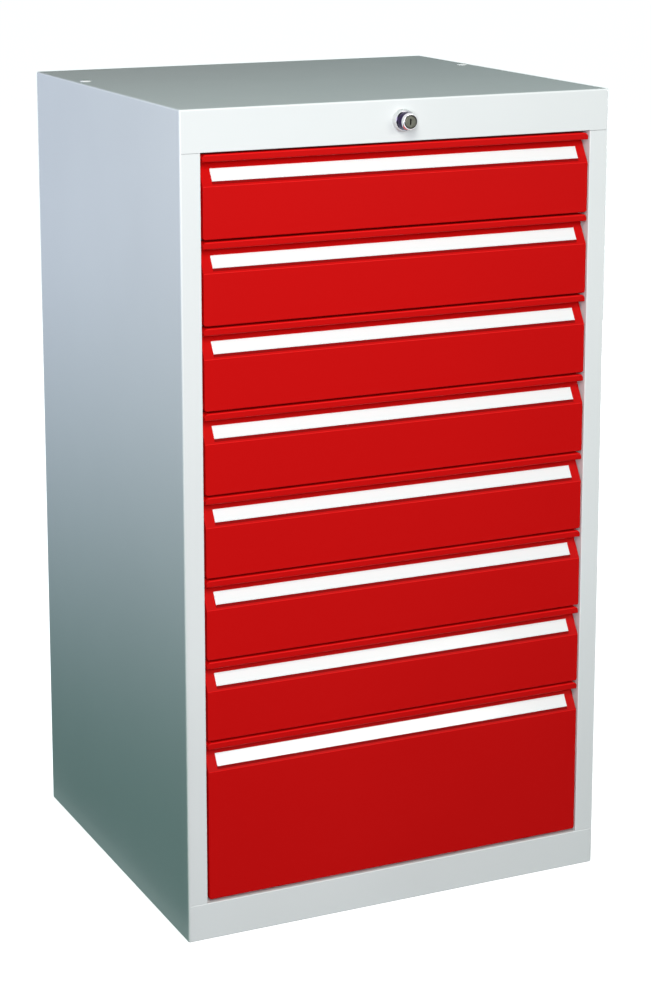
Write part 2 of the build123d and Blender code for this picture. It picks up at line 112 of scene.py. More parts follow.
class NodeSheet:
    """A node tree, with a call that adds a node and fills its inputs."""

    def __init__(self, tree: bpy.types.NodeTree) -> None:
        """Take over a tree and empty it."""
        self.tree = tree
        tree.nodes.clear()

    def put(self, value: Any, socket: Socket) -> None:
        """Join a source to an input, or keep a constant in it.

        Args:
            value: a socket, a node that stands for its first output, or a constant.
            socket: the input.
        """
        if isinstance(value, Node):
            value = value.outputs[0]
        if isinstance(value, Socket):
            self.tree.links.new(value, socket)
        else:
            socket.default_value = value

    def add(self, kind: str, inputs: dict[Any, Any] | None = None, **settings: Any) -> Node:
        """Add a node.

        Args:
            kind: the node's type.
            inputs: what goes into its inputs, by their names or places.
            settings: its properties.

        Returns:
            The node.
        """
        node = self.tree.nodes.new(kind)
        for title, value in settings.items():
            setattr(node, title, value)
        for title, value in (inputs or {}).items():
            self.put(value, node.inputs[title])
        return node

    def grade(self, factor: Socket, first: Colour, second: Colour) -> Socket:
        """Run from one colour to another.

        Args:
            factor: 0 for the first colour and 1 for the second.
            first: a linear colour.
            second: a linear colour.

        Returns:
            The mixed colour.
        """
        inputs = {"Factor": factor, "A": (*first, 1), "B": (*second, 1)}
        return self.add("ShaderNodeMix", inputs, data_type="RGBA").outputs["Result"]

    def by_sight(self, unseen: Node, seen: Node) -> Node:
        """Use one shader for soft light and another where the surface itself is seen.

        Args:
            unseen: the shader that soft light on the object comes from.
            seen: the shader for camera, glossy and transmission rays.

        Returns:
            The mixed shader.
        """
        path = self.add("ShaderNodeLightPath")
        sight = path.outputs["Is Camera Ray"]
        for title in ("Is Glossy Ray", "Is Transmission Ray"):
            both = {0: sight, 1: path.outputs[title]}
            sight = self.add("ShaderNodeMath", both, operation="MAXIMUM")
        return self.add("ShaderNodeMixShader", {0: sight, 1: unseen, 2: seen})


class ShaderSheet(NodeSheet):
    """A material's tree round a Principled shader, with short calls for its patterns."""

    noise_low: float = 0.3
    noise_high: float = 0.7

    def __init__(self, name: str) -> None:
        """Start the material.

        Args:
            name: its name.
        """
        self.material = bpy.data.materials.new(name)
        self.material.use_nodes = True
        super().__init__(self.material.node_tree)
        self.shader = self.add("ShaderNodeBsdfPrincipled")
        self.add("ShaderNodeOutputMaterial", {"Surface": self.shader})

    def fix(self, **inputs: Any) -> None:
        """Fill the shader's own inputs.

        Args:
            inputs: sources or constants by the inputs' names, with underscores for spaces.
        """
        for title, value in inputs.items():
            self.put(value, self.shader.inputs[title.replace("_", " ")])

    def place(self, scale: Triple = (1, 1, 1), move: Triple = (0, 0, 0)) -> Node:
        """Object coordinates through a mapping.

        Args:
            scale: scale of each axis.
            move: shift of each axis, after the scale.

        Returns:
            The mapping.
        """
        where = self.add("ShaderNodeTexCoord").outputs["Object"]
        return self.add("ShaderNodeMapping", {"Vector": where, "Scale": scale, "Location": move})

    def noise(self, where: Node, scale: float, detail: float = 2.0, rough: float = 0.5) -> Socket:
        """A noise from 0 to 1.

        Args:
            where: the coordinates that it is read at.
            scale: how many features lie in a metre.
            detail: octaves.
            rough: how strong the finer octaves are.

        Returns:
            The noise's value.
        """
        inputs = {"Vector": where, "Scale": scale, "Detail": detail, "Roughness": rough}
        return self.add("ShaderNodeTexNoise", inputs).outputs["Fac"]

    def span(self, value: Socket, low: float = 0.0, high: float = 1.0) -> Socket:
        """Spread the middle of a noise over a range.

        Args:
            value: the noise.
            low: result where the noise is at noise_low or under.
            high: result where it is at noise_high or over.

        Returns:
            The spread value.
        """
        inputs = {"Value": value, "From Min": self.noise_low, "From Max": self.noise_high}
        inputs["To Min"], inputs["To Max"] = low, high
        return self.add("ShaderNodeMapRange", inputs).outputs["Result"]

    def bump(self, height: Socket, depth: float, strength: float, under: Node | None = None) -> Node:
        """A bump.

        Args:
            height: the pattern, from 0 to 1.
            depth: its height in metres.
            strength: how much of it shows.
            under: a bump that this one lies on.

        Returns:
            The bump.
        """
        inputs = {"Height": height, "Distance": depth, "Strength": strength}
        if under is not None:
            inputs["Normal"] = under
        return self.add("ShaderNodeBump", inputs)


@dataclass(frozen=True)
class Finish:
    """What every finish has: its material's name, its colour and the ends of its drift."""

    name: str
    colour: Colour
    roughness: Pair
    tones: Pair

    def material(self) -> Material:
        """Build the finish.

        Returns:
            The material.
        """
        sheet = ShaderSheet(self.name)
        self.lay(sheet)
        return sheet.material

    def lay(self, sheet: ShaderSheet) -> None:
        """Lay the patterns that make the finish."""
        raise NotImplementedError

    def drift(self, sheet: ShaderSheet, tone: Socket, wear: Socket) -> None:
        """Let the colour's tone and the roughness run between their ends.

        Args:
            sheet: the material's sheet.
            tone: what the tone follows, from 0 to 1.
            wear: the noise that the roughness follows.
        """
        ends = [tuple(min(1.0, part * factor) for part in self.colour) for factor in self.tones]
        roughness = sheet.span(wear, *self.roughness)
        sheet.fix(Base_Color=sheet.grade(tone, *ends), Roughness=roughness)


@dataclass(frozen=True)
class PowderCoat(Finish):
    """A baked powder coat: slow changes of tone and a fine orange peel under a satin gloss."""

    roughness: Pair = (0.38, 0.5)
    tones: Pair = (1.03, 0.97)
    gloss: float = 0.3
    clouds: Noise = (3.5, 3.0)
    cloud_ends: Pair = (0.15, 0.85)
    peel: Noise = (260.0, 2.0, 0.55)
    peel_relief: Relief = (0.05 * MM, 0.5)
    grains: Noise = (900.0, 1.0)
    grain_relief: Relief = (0.0125 * MM, 0.35)

    def lay(self, sheet: ShaderSheet) -> None:
        """Lay the coat.

        Args:
            sheet: the material's sheet.
        """
        where = sheet.place()
        clouds = sheet.noise(where, *self.clouds)
        self.drift(sheet, sheet.span(clouds, *self.cloud_ends), clouds)
        peel = sheet.bump(sheet.noise(where, *self.peel), *self.peel_relief)
        grains = sheet.noise(where, *self.grains)
        sheet.fix(Normal=sheet.bump(grains, *self.grain_relief, under=peel))
        sheet.fix(Specular_IOR_Level=self.gloss)


@dataclass(frozen=True)
class ZincSheet(Finish):
    """Galvanised sheet with a faint spangle."""

    roughness: Pair = (0.34, 0.52)
    tones: Pair = (0.86, 1.08)
    spangle_scale: float = 95.0
    dents: Noise = (420.0,)
    dent_relief: Relief = (0.04 * MM, 0.4)

    def lay(self, sheet: ShaderSheet) -> None:
        """Lay the spangle.

        Args:
            sheet: the material's sheet.
        """
        where = sheet.place()
        cells = sheet.add("ShaderNodeTexVoronoi", {"Vector": where, "Scale": self.spangle_scale})
        split = sheet.add("ShaderNodeSeparateColor", {"Color": cells.outputs["Color"]})
        spangle = split.outputs["Red"]
        self.drift(sheet, spangle, spangle)
        dents = sheet.noise(where, *self.dents)
        sheet.fix(Normal=sheet.bump(dents, *self.dent_relief), Metallic=1.0)


@dataclass(frozen=True)
class RolledSteel(Finish):
    """Bright plated steel with the long marks of the rolls or the die."""

    roughness: Pair = (0.24, 0.4)
    tones: Pair = (0.9, 1.06)
    grain: Grain = Grain.ALONG_DEPTH
    across: float = 1800.0
    along: float = 14.0
    marks: Noise = (1.0, 3.0, 0.6)
    mark_relief: Relief = (0.02 * MM, 0.35)
    patches: Noise = (22.0,)

    def lay(self, sheet: ShaderSheet) -> None:
        """Lay the marks.

        Args:
            sheet: the material's sheet.
        """
        drawn = sheet.place(self.grain.stretch(self.across, self.along))
        marks = sheet.noise(drawn, *self.marks)
        self.drift(sheet, sheet.span(marks), sheet.noise(sheet.place(), *self.patches))
        sheet.fix(Normal=sheet.bump(marks, *self.mark_relief), Metallic=1.0)


@dataclass(frozen=True)
class Chrome(Finish):
    """Polished chrome plate with faint smears."""

    roughness: Pair = (0.05, 0.13)
    tones: Pair = (0.95, 1.04)
    smears: Noise = (160.0, 3.0)
    ripples: Noise = (2500.0, 1.0)
    ripple_relief: Relief = (0.004 * MM, 0.2)

    def lay(self, sheet: ShaderSheet) -> None:
        """Lay the plate and its smears.

        Args:
            sheet: the material's sheet.
        """
        where = sheet.place()
        smears = sheet.noise(where, *self.smears)
        self.drift(sheet, sheet.span(smears), smears)
        ripples = sheet.noise(where, *self.ripples)
        sheet.fix(Normal=sheet.bump(ripples, *self.ripple_relief), Metallic=1.0)


@dataclass(frozen=True)
class TurnedMetal(Finish):
    """Turned metal, with the lathe's rings round an axis along Y."""

    roughness: Pair = (0.26, 0.42)
    tones: Pair = (0.8, 1.1)
    axis_height: float = 0.0
    ring_scale: float = 420.0
    ring_wobble: float = 0.6
    ring_relief: Relief = (0.03 * MM, 0.4)
    grit: Noise = (700.0, 3.0)

    def lay(self, sheet: ShaderSheet) -> None:
        """Lay the rings.

        Args:
            sheet: the material's sheet.
        """
        centred = sheet.place(move=(0, 0, -self.axis_height))
        inputs = {"Vector": centred, "Scale": self.ring_scale, "Distortion": self.ring_wobble}
        rings = sheet.add("ShaderNodeTexWave", inputs, wave_type="RINGS", rings_direction="Y")
        grit = sheet.noise(sheet.place(), *self.grit)
        self.drift(sheet, sheet.span(grit), grit)
        sheet.fix(Normal=sheet.bump(rings.outputs["Fac"], *self.ring_relief), Metallic=1.0)


@dataclass(frozen=True)
class MouldedPlastic(Finish):
    """Moulded plastic or rubber with a fine spark-eroded grain."""

    roughness: Pair = (0.32, 0.42)
    tones: Pair = (0.97, 1.02)
    gloss: float = 0.4
    flow: Noise = (40.0,)
    grains: Noise = (1400.0,)
    grain_relief: Relief = (0.02 * MM, 0.4)

    def lay(self, sheet: ShaderSheet) -> None:
        """Lay the grain.

        Args:
            sheet: the material's sheet.
        """
        where = sheet.place()
        flow = sheet.noise(where, *self.flow)
        self.drift(sheet, sheet.span(flow), flow)
        grains = sheet.noise(where, *self.grains)
        sheet.fix(Normal=sheet.bump(grains, *self.grain_relief), Specular_IOR_Level=self.gloss)


@dataclass(frozen=True)
class LabelCard(Finish):
    """White card with faint fibres under a clear cover."""

    roughness: Pair = (0.3, 0.4)
    tones: Pair = (0.985, 1.0)
    gloss: float = 0.5
    cover_roughness: float = 0.12
    fibre_stretch: Triple = (260.0, 900.0, 900.0)
    fibres: Noise = (1.0, 4.0, 0.65)
    fibre_relief: Relief = (0.02 * MM, 0.3)

    def lay(self, sheet: ShaderSheet) -> None:
        """Lay the fibres and the cover.

        Args:
            sheet: the material's sheet.
        """
        fibres = sheet.noise(sheet.place(self.fibre_stretch), *self.fibres)
        self.drift(sheet, sheet.span(fibres), fibres)
        sheet.fix(Normal=sheet.bump(fibres, *self.fibre_relief), Specular_IOR_Level=self.gloss)
        sheet.fix(Coat_Weight=1.0, Coat_Roughness=self.cover_roughness)


@dataclass
class PaintShop:
    """Holds the cabinet's finishes, each made once."""

    lock_height: float
    made: dict[str, Material] = field(default_factory=dict)

    def finishes(self) -> dict[str, Finish]:
        """The finish of every slot, and of the parts of a slot that differ from the rest.

        Returns:
            Finishes by name. A slot's own finish has the slot's name.
        """
        axis = self.lock_height
        return {
            "housing_grey": PowderCoat("housing_grey_coat", (0.765, 0.78, 0.78), (0.45, 0.55), gloss=0.14),
            # a lighter grey on the housing's bends: painted highlight
            "painted_highlight_housing_bends": PowderCoat("housing_coat_painted_bend_highlight", (0.84, 0.85, 0.85), (0.3, 0.4), gloss=0.35),
            "front_red": PowderCoat("front_red_coat", (0.555, 0.003, 0.003), (0.36, 0.46), gloss=0.07),
            # a lighter red on the fronts' bends: painted highlight
            "painted_highlight_front_bends": PowderCoat("front_coat_painted_bend_highlight", (0.76, 0.003, 0.003), (0.32, 0.4), gloss=0.12),
            # a dark red that paints the shadow under the label strips
            "label_painted_shadow": PowderCoat("painted_shadow_red_under_label", (0.27, 0.002, 0.002), (0.5, 0.6), gloss=0.07),
            "drawer_grey": PowderCoat("drawer_grey_coat", (0.50, 0.52, 0.53), gloss=0.35),
            "label_white": LabelCard("label_card_white", (0.86, 0.86, 0.86)),
            "plug_white": MouldedPlastic("plug_white_moulding", (0.88, 0.88, 0.87), (0.22, 0.3)),
            "collar_grey": MouldedPlastic("collar_pale_moulding", (0.74, 0.75, 0.745)),
            "buffer_rubber": MouldedPlastic(
                "buffer_black_rubber", (0.025, 0.025, 0.026), (0.65, 0.85),
                gloss=0.25, grains=(900.0,), grain_relief=(0.05 * MM, 0.4),
            ),
            "zinc_steel": ZincSheet("zinc_sheet", (0.58, 0.6, 0.62)),
            "runner_steel": RolledSteel("runner_steel_rolled", (0.64, 0.65, 0.67)),
            "rod_steel": RolledSteel("push_rod_drawn_steel", (0.6, 0.61, 0.62)),
            "bar_steel": RolledSteel(
                "locking_bar_drawn_steel", (0.58, 0.59, 0.61), (0.3, 0.46), grain=Grain.ALONG_HEIGHT
            ),
            "lock_chrome": Chrome("lock_chrome_plate", (0.8, 0.79, 0.83)),
            # near-black chrome on the lock's neck: a painted dark reflection
            "lock_painted_dark_reflection": Chrome("lock_chrome_painted_dark_reflection", (0.035, 0.02, 0.07)),
            "lock_inlay": TurnedMetal("lock_inlay_bronzed", (0.06, 0.058, 0.052), axis_height=axis),
            "core_metal": TurnedMetal("core_turned_metal", (0.12, 0.12, 0.1), axis_height=axis),
        }

    def get(self, finish: str) -> Material:
        """The material of a finish, made when it is first asked for.

        Args:
            finish: the finish's name.

        Returns:
            The material.
        """
        if finish not in self.made:
            self.made[finish] = self.finishes()[finish].material()
        return self.made[finish]


def new_piece(data: bpy.types.ID) -> Piece:
    """Put a mesh, a lamp or the camera in the scene under its own name.

    Args:
        data: what is put there. A mesh has its place in its points.

    Returns:
        The new object.
    """
    piece = bpy.data.objects.new(data.name, data)
    bpy.context.scene.collection.objects.link(piece)
    return piece


def shade_by_angle(bm: bmesh.types.BMesh) -> None:
    """Shade a mesh smooth, but for the edges that turn more than SMOOTH_ANGLE.

    Args:
        bm: the mesh.
    """
    limit = math.radians(SMOOTH_ANGLE)
    for face in bm.faces:
        face.smooth = True
    for edge in bm.edges:
        edge.smooth = edge.calc_face_angle(math.pi) < limit


def weigh_outer_edges(bm: bmesh.types.BMesh) -> None:
    """Mark the sharp edges that stand out for easing, and leave the inside corners as they are.

    Args:
        bm: the mesh.
    """
    limit = math.radians(SHARP_ANGLE)
    weight = bm.edges.layers.float.new("bevel_weight_edge")
    for edge in bm.edges:
        edge[weight] = float(edge.calc_face_angle(0) > limit and edge.is_convex)


def mark_bends(bm: bmesh.types.BMesh) -> None:
    """Give the bends, but for those that face down, the second material: a lighter coat that paints their
    highlight.

    A bend's faces slant, and few others lie the way that each of them does.

    Args:
        bm: the mesh.
    """
    share_of_bend, square, downward = 0.01, 0.999, -0.02
    areas: dict[tuple[float, ...], float] = {}
    ways = [tuple(round(part, 2) for part in face.normal) for face in bm.faces]
    for face, way in zip(bm.faces, ways):
        areas[way] = areas.get(way, 0.0) + face.calc_area()
    limit = share_of_bend * sum(areas.values())
    for face, way in zip(bm.faces, ways):
        slanting = max(abs(part) for part in face.normal) < square
        face.material_index = int(slanting and face.normal.z > downward and areas[way] < limit)


def add_easing(piece: Piece, amount: float, method: str) -> None:
    """Ease a piece's edges with a modifier.

    Args:
        piece: the piece.
        amount: how far, in metres.
        method: what chooses the edges, WEIGHT or ANGLE.
    """
    easing = piece.modifiers.new("eased_edges", "BEVEL")
    easing.width = amount
    easing.segments = 2
    easing.limit_method = method


def eased_copy(frame: Frame, node: str, ease: float, bends: bool) -> Piece:
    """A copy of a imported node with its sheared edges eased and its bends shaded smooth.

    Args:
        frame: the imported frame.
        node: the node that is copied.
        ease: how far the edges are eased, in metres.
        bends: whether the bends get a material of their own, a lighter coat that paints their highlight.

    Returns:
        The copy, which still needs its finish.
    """
    weld_gap, flat_angle = 0.002 * MM, math.radians(0.3)
    mesh = frame["nodes"][node].data.copy()
    mesh.name = node + "_sheet"
    bm = bmesh.new()
    bm.from_mesh(mesh)
    bmesh.ops.remove_doubles(bm, verts=bm.verts, dist=weld_gap)
    bmesh.ops.dissolve_limit(bm, angle_limit=flat_angle, verts=bm.verts, edges=bm.edges)
    if bends:
        mark_bends(bm)
    shade_by_angle(bm)
    weigh_outer_edges(bm)
    mesh.materials.clear()
    bm.to_mesh(mesh)
    bm.free()
    piece = new_piece(mesh)
    add_easing(piece, ease, "WEIGHT")
    piece.modifiers.new("even_shading", "WEIGHTED_NORMAL").keep_sharp = True
    return piece


def turned_mesh(name: str, profile: Outline, height: float, steps: int = 64) -> Mesh:
    """A solid turned about an axis along Y.

    Args:
        name: the mesh's name.
        profile: a closed outline of (radius, y) points, none of them repeated.
        height: the axis's Z.
        steps: how many steps make the turn.

    Returns:
        The closed mesh, with its faces outwards.
    """
    on_axis = 1e-7
    turns = [2 * math.pi * step / steps for step in range(steps)]
    bm = bmesh.new()
    rings = []
    for radius, y in profile:
        points = [(radius * math.cos(turn), y, height + radius * math.sin(turn)) for turn in turns]
        if radius < on_axis:
            points = [(0, y, height)]
        rings.append([bm.verts.new(point) for point in points])
    for first, second in zip(rings, rings[1:] + rings[:1]):
        for step in range(steps):
            after = (step + 1) % steps
            corners = ((first, step), (first, after), (second, after), (second, step))
            distinct = list(dict.fromkeys(ring[place % len(ring)] for ring, place in corners))
            if len(distinct) > 2:
                bm.faces.new(distinct)
    bmesh.ops.recalc_face_normals(bm, faces=bm.faces)
    shade_by_angle(bm)
    mesh = bpy.data.meshes.new(name)
    bm.to_mesh(mesh)
    bm.free()
    return mesh


def arc(centre: Pair, radius: float, start: float, end: float, steps: int) -> list[Pair]:
    """Points on an arc in a turned outline.

    Args:
        centre: its centre as (radius, y).
        radius: its radius.
        start: first angle in degrees, from the outward direction towards +Y.
        end: last angle in degrees.
        steps: how many steps.

    Returns:
        The points, both ends included.
    """
    turns = [math.radians(start + (end - start) * step / steps) for step in range(steps + 1)]
    out, y = centre
    return [(out + radius * math.cos(turn), y + radius * math.sin(turn)) for turn in turns]


def panel(name: str, low: Triple, high: Triple) -> Piece:
    """Put a flat panel in the scene.

    Args:
        name: the panel's name.
        low: one corner.
        high: the corner across from it, which shares one of its coordinates.

    Returns:
        The panel.
    """
    first, second = [axis for axis in range(3) if low[axis] != high[axis]]
    after, before = list(low), list(low)
    after[first], before[second] = high[first], high[second]
    mesh = bpy.data.meshes.new(name)
    mesh.from_pydata([low, after, high, before], [], [(0, 1, 2, 3)])
    return new_piece(mesh)


class NodeBench(NodeSheet):
    """A Geometry Nodes tree that is run once for each mesh and taken off again."""

    def __init__(self, name: str, inputs: dict[str, tuple[str, Any]]) -> None:
        """Start a tree with named inputs.

        Args:
            name: the tree's name.
            inputs: socket type and value by input name.
        """
        super().__init__(bpy.data.node_groups.new(name, "GeometryNodeTree"))
        self.values = inputs
        face = self.tree.interface
        face.new_socket("Geometry", in_out="OUTPUT", socket_type="NodeSocketGeometry")
        self.keys = {
            title: face.new_socket(title, in_out="INPUT", socket_type=kind).identifier
            for title, (kind, _) in inputs.items()
        }
        self.given = self.add("NodeGroupInput").outputs

    def math(self, operation: str, first: Any, second: Any) -> Node:
        """A sum on two values, each a source or a number."""
        return self.add("ShaderNodeMath", {0: first, 1: second}, operation=operation)

    def vector(self, x: Any, y: Any, z: Any) -> Node:
        """A vector from three values, each a source or a number."""
        return self.add("ShaderNodeCombineXYZ", {0: x, 1: y, 2: z})

    def close(self, shape: Node) -> None:
        """Realize the shape, give it its material and end the tree.

        Args:
            shape: the geometry that the tree makes.
        """
        real = self.add("GeometryNodeRealizeInstances", {0: shape})
        inputs = {"Geometry": real, "Material": self.given["Finish"]}
        self.add("NodeGroupOutput", {"Geometry": self.add("GeometryNodeSetMaterial", inputs)})

    def run(self, name: str, changes: dict[str, Any]) -> Piece:
        """Run the tree and keep its result as a piece with a plain mesh.

        Args:
            name: the piece's name.
            changes: input values that differ for this run.

        Returns:
            The piece.
        """
        host = new_piece(bpy.data.meshes.new(name + "_host"))
        modifier = host.modifiers.new("shape", "NODES")
        modifier.node_group = self.tree
        for title, (_, value) in self.values.items():
            modifier[self.keys[title]] = changes.get(title, value)
        bpy.context.view_layer.update()
        graph = bpy.context.evaluated_depsgraph_get()
        mesh = bpy.data.meshes.new_from_object(host.evaluated_get(graph))
        mesh.name = name
        host.modifiers.remove(modifier)
        bpy.data.objects.remove(host)
        return new_piece(mesh)


@dataclass
class SubAssembly:
    """What every sub-assembly needs: the frame, the paint shop and a list of its pieces."""

    frame: Frame
    paint: PaintShop
    pieces: list[str] = field(default_factory=list)

    def dress(self, node: str, slot: str) -> None:
        """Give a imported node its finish.

        Args:
            node: the node.
            slot: the record's slot, which also names the finish.
        """
        for place in self.frame["nodes"][node].material_slots:
            place.material = self.paint.get(slot)
        self.pieces.append(node)

    def mount(self, piece: Piece, body: str, slot: str, *stands_for: str, finish: str = "") -> None:
        """Finish a new piece and let it ride on its body.

        Args:
            piece: the piece.
            body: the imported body.
            slot: the record's slot, which also names the finish if no other is given.
            stands_for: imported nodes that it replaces.
            finish: its finish, where it isn't the slot's own.
        """
        if not piece.data.materials:
            piece.data.materials.append(self.paint.get(finish or slot))
        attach(piece, body)
        if stands_for:
            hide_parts(*stands_for)
        self.pieces.append(piece.name)

    def eased(
        self, node: str, body: str, slot: str, ease: float, finish: str = "", bends: str = ""
    ) -> None:
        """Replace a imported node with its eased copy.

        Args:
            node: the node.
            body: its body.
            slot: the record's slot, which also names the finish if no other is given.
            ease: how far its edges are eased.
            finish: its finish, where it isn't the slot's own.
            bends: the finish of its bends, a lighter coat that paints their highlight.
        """
        piece = eased_copy(self.frame, node, ease, bool(bends))
        piece.data.materials.append(self.paint.get(finish or slot))
        if bends:
            piece.data.materials.append(self.paint.get(bends))
        self.mount(piece, body, slot, node)


@dataclass
class Housing(SubAssembly):
    """The folded housing with its floor, back, uprights and plugs.

    A plug's outline is given in millimetres from the edges that its comments name.
    """

    fold_ease: float = 0.35 * MM
    strip_ease: float = 0.2 * MM
    cap_radius: float = 7 * MM
    cap_height: float = 1.6 * MM
    stem_radius: float = 4.8 * MM
    stem_length: float = 6 * MM
    tip_taper: float = 0.8 * MM
    dimple: Outline = ((0.0, 0.25), (1.1, 0.2), (1.5, 0.0))  # out from the axis, down from the top
    crown: Outline = ((1.6, 0.05), (0.7, 0.4), (0.15, 1.0))  # in from the rim, down from the top
    skirt: Outline = ((0.0, 0.2), (0.1, 0.0))  # in from the rim, up from the underside
    barb: Outline = ((0.4, 0.0), (0.4, 1.3), (0.0, 2.2))  # in from the stem, down from the underside

    def build(self) -> None:
        """Dress the housing and turn its plugs."""
        for node in ("outer_shell", "bottom_panel"):
            # the housing's bends get a lighter coat that paints their highlight
            self.eased(node, "cabinet", "housing_grey", self.fold_ease, bends="painted_highlight_housing_bends")
        self.dress("back_panel", "housing_grey")
        for node in ("floor_support", "runner_uprights_left", "runner_uprights_right"):
            self.eased(node, "cabinet", "zinc_steel", self.strip_ease)
        self.plugs()

    def plug_mesh(self, name: str, centre: Vector) -> Mesh:
        """One plug with a domed cap, a dimple and a barbed stem.

        Args:
            name: the mesh's name.
            centre: the middle of the cap's underside.

        Returns:
            The mesh.
        """
        cap, rise, stem = self.cap_radius, self.cap_height, self.stem_radius
        outline = [(out * MM, rise - down * MM) for out, down in self.dimple]
        outline += [(cap - inward * MM, rise - down * MM) for inward, down in self.crown]
        outline += [(cap - inward * MM, up * MM) for inward, up in self.skirt]
        outline += [(stem - inward * MM, -down * MM) for inward, down in self.barb]
        outline += [(stem - self.tip_taper, -self.stem_length), (0.0, -self.stem_length)]
        mesh = turned_mesh(name, outline, 0.0, steps=40)
        mesh.transform(Matrix.Translation(centre) @ Matrix.Rotation(math.radians(90), 4, "X"))
        return mesh

    def plugs(self) -> None:
        """Turn both plugs and set them in the top."""
        low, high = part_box("top_hole_plugs")
        left, right = low.x + self.cap_radius, high.x - self.cap_radius
        bm = bmesh.new()
        for side, x in ((Side.LEFT, left), (Side.RIGHT, right)):
            centre = Vector((x, (low.y + high.y) / 2, high.z - self.cap_height))
            bm.from_mesh(self.plug_mesh(f"plug_{side.value}", centre))
        mesh = bpy.data.meshes.new("white_plugs")
        bm.to_mesh(mesh)
        bm.free()
        self.mount(new_piece(mesh), "cabinet", "plug_white", "top_hole_plugs")


@dataclass
class RunnerSet(SubAssembly):
    """The fixed runner members and their buffers."""

    member_ease: float = 0.2 * MM
    buffer_ease: float = 0.5 * MM

    def build(self) -> None:
        """Dress the fixed members and the buffers."""
        for side in Side:
            node = f"fixed_runners_{side.value}"
            self.eased(node, "cabinet", "runner_steel", self.member_ease)
        self.eased("runner_buffers", "cabinet", "buffer_rubber", self.buffer_ease)


